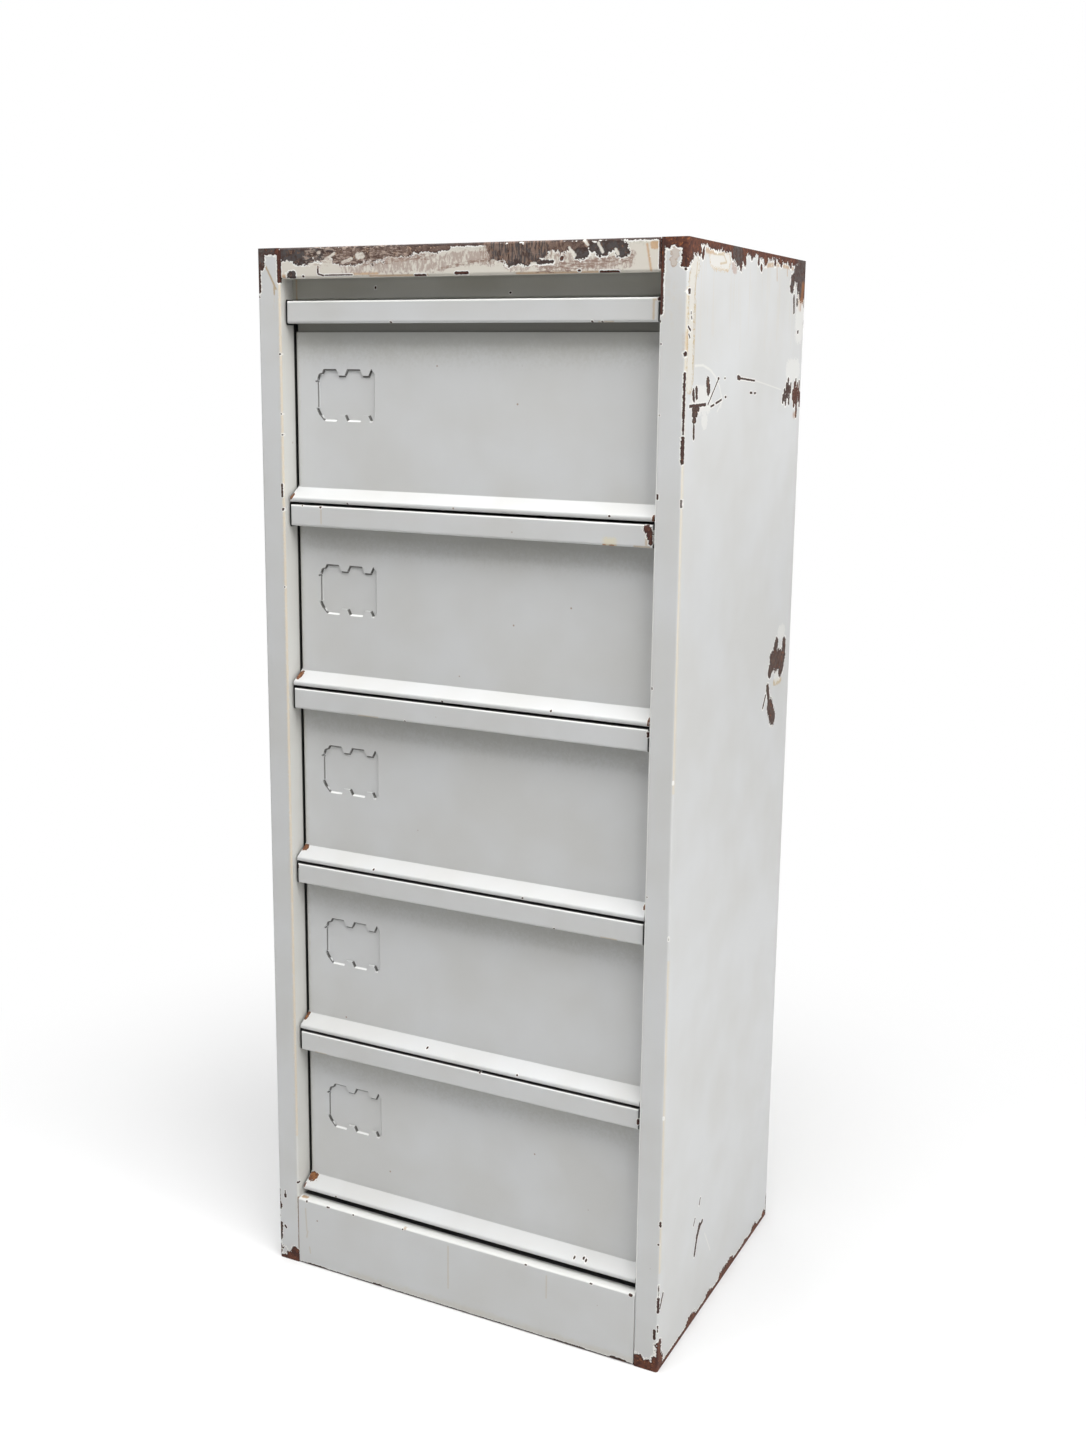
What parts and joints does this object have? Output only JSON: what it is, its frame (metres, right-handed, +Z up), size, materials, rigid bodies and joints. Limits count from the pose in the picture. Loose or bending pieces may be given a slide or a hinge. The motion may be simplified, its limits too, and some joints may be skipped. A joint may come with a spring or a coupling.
{
  "type": "metal drawer cabinet",
  "caption": "Narrow free-standing sheet-steel cabinet of stacked shallow drawers with full-width folded pulls, sloping ledges, pressed label holders and a plinth.",
  "frame": {"origin": "middle of the footprint, on the floor", "axes": "+Z up, -Y towards the drawer fronts, +X to the right of someone facing them"},
  "size_m": [0.42, 0.314, 1.009],
  "materials": {
    "side_paint": "semi-gloss light grey enamel, worn to rust at the edges",
    "rail_paint": "light grey enamel, mostly worn away to dark primer and rust",
    "header_paint": "semi-gloss light grey enamel",
    "plinth_paint": "semi-gloss light grey enamel, stained at the seams",
    "front_paint": "semi-gloss light grey enamel",
    "pull_paint": "semi-gloss light grey enamel, chipped",
    "back_paint": "semi-gloss light grey enamel",
    "inner_paint": "thin satin light grey enamel",
    "runner_steel": "dull zinc-plated, lightly greased"
  },
  "bodies": {
    "carcass": {"side_left": "side_paint", "side_right": "side_paint", "top_panel": "rail_paint", "header_rail": "header_paint", "plinth": "plinth_paint", "base_panel": "inner_paint", "back_panel": "back_paint", "upright_front_left": "runner_steel", "upright_front_right": "runner_steel", "upright_rear_left": "runner_steel", "upright_rear_right": "runner_steel", "runner_left_1": "runner_steel", "runner_left_2": "runner_steel", "runner_left_3": "runner_steel", "runner_left_4": "runner_steel", "runner_left_5": "runner_steel", "runner_right_1": "runner_steel", "runner_right_2": "runner_steel", "runner_right_3": "runner_steel", "runner_right_4": "runner_steel", "runner_right_5": "runner_steel"},
    "drawer_1": {"drawer_1_front": "front_paint", "drawer_1_pull": "pull_paint", "drawer_1_liner": "inner_paint", "drawer_1_tray": "inner_paint", "drawer_1_tray_back": "inner_paint", "drawer_1_glide_left": "runner_steel", "drawer_1_glide_right": "runner_steel"},
    "drawer_2": {"drawer_2_front": "front_paint", "drawer_2_pull": "pull_paint", "drawer_2_liner": "inner_paint", "drawer_2_tray": "inner_paint", "drawer_2_tray_back": "inner_paint", "drawer_2_glide_left": "runner_steel", "drawer_2_glide_right": "runner_steel"},
    "drawer_3": {"drawer_3_front": "front_paint", "drawer_3_pull": "pull_paint", "drawer_3_liner": "inner_paint", "drawer_3_tray": "inner_paint", "drawer_3_tray_back": "inner_paint", "drawer_3_glide_left": "runner_steel", "drawer_3_glide_right": "runner_steel"},
    "drawer_4": {"drawer_4_front": "front_paint", "drawer_4_pull": "pull_paint", "drawer_4_liner": "inner_paint", "drawer_4_tray": "inner_paint", "drawer_4_tray_back": "inner_paint", "drawer_4_glide_left": "runner_steel", "drawer_4_glide_right": "runner_steel"},
    "drawer_5": {"drawer_5_front": "front_paint", "drawer_5_pull": "pull_paint", "drawer_5_liner": "inner_paint", "drawer_5_tray": "inner_paint", "drawer_5_tray_back": "inner_paint", "drawer_5_glide_left": "runner_steel", "drawer_5_glide_right": "runner_steel"}
  },
  "joints": [
    {"name": "drawer_1_slide", "type": "slide", "parent": "carcass", "child": "drawer_1", "axis": [0, -1, 0], "range_m": [0, 0.23]},
    {"name": "drawer_2_slide", "type": "slide", "parent": "carcass", "child": "drawer_2", "axis": [0, -1, 0], "range_m": [0, 0.23]},
    {"name": "drawer_3_slide", "type": "slide", "parent": "carcass", "child": "drawer_3", "axis": [0, -1, 0], "range_m": [0, 0.23]},
    {"name": "drawer_4_slide", "type": "slide", "parent": "carcass", "child": "drawer_4", "axis": [0, -1, 0], "range_m": [0, 0.23]},
    {"name": "drawer_5_slide", "type": "slide", "parent": "carcass", "child": "drawer_5", "axis": [0, -1, 0], "range_m": [0, 0.23]}
  ]
}
